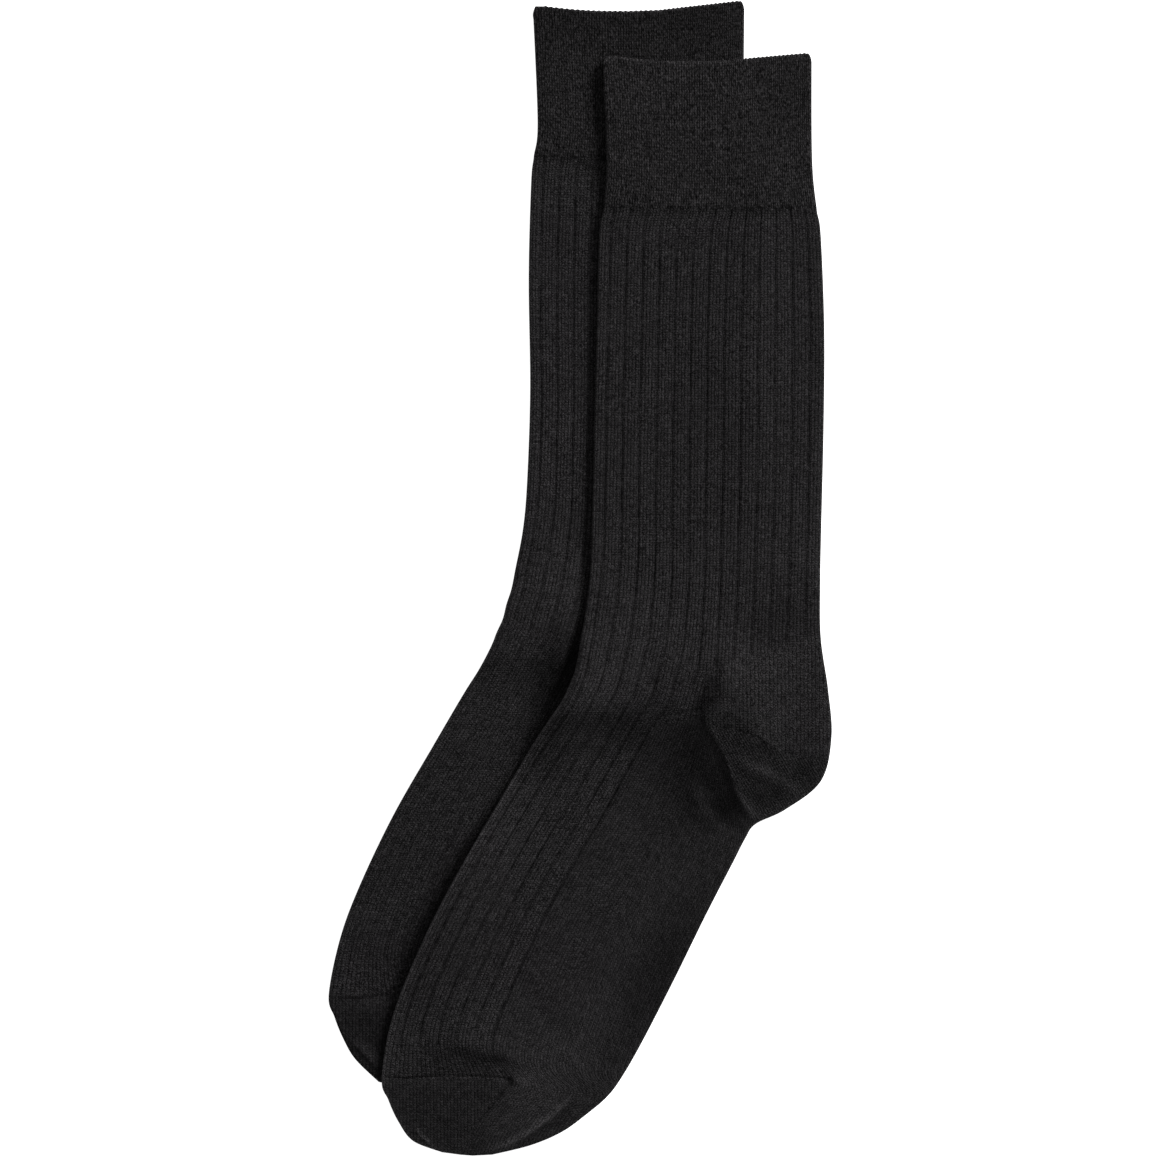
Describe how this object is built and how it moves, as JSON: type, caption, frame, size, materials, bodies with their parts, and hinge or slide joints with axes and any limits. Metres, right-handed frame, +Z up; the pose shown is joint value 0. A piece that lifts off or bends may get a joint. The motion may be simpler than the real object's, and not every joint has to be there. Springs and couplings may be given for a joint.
{
  "type": "pair of socks",
  "caption": "Men's mid-calf dress socks in wide rib with plain heel, sole and toe, laid flat and overlapping, one partly on the other.",
  "frame": {"origin": "centre of the pair's outline on the surface that it lies on", "axes": "+Z up from the surface, +Y along the legs towards the cuffs, +X towards the heels; the toes point to -Y and -X"},
  "size_m": [0.209, 0.4792, 0.0134],
  "materials": {
    "cuff_knit": "matt black-charcoal cotton, fine 1x1 mock rib",
    "rib_knit": "matt black-charcoal cotton, wide 5x1 rib",
    "heel_knit": "matt black-charcoal cotton, plain knit",
    "sole_knit": "matt black-charcoal cotton, plain knit",
    "toe_knit": "matt black-charcoal cotton, plain knit"
  },
  "bodies": {
    "root": {"front_cuff": "cuff_knit", "front_rib": "rib_knit", "front_heel": "heel_knit", "front_sole": "sole_knit", "front_toe": "toe_knit", "rear_cuff": "cuff_knit", "rear_rib": "rib_knit", "rear_heel": "heel_knit", "rear_sole": "sole_knit", "rear_toe": "toe_knit"}
  },
  "joints": []
}
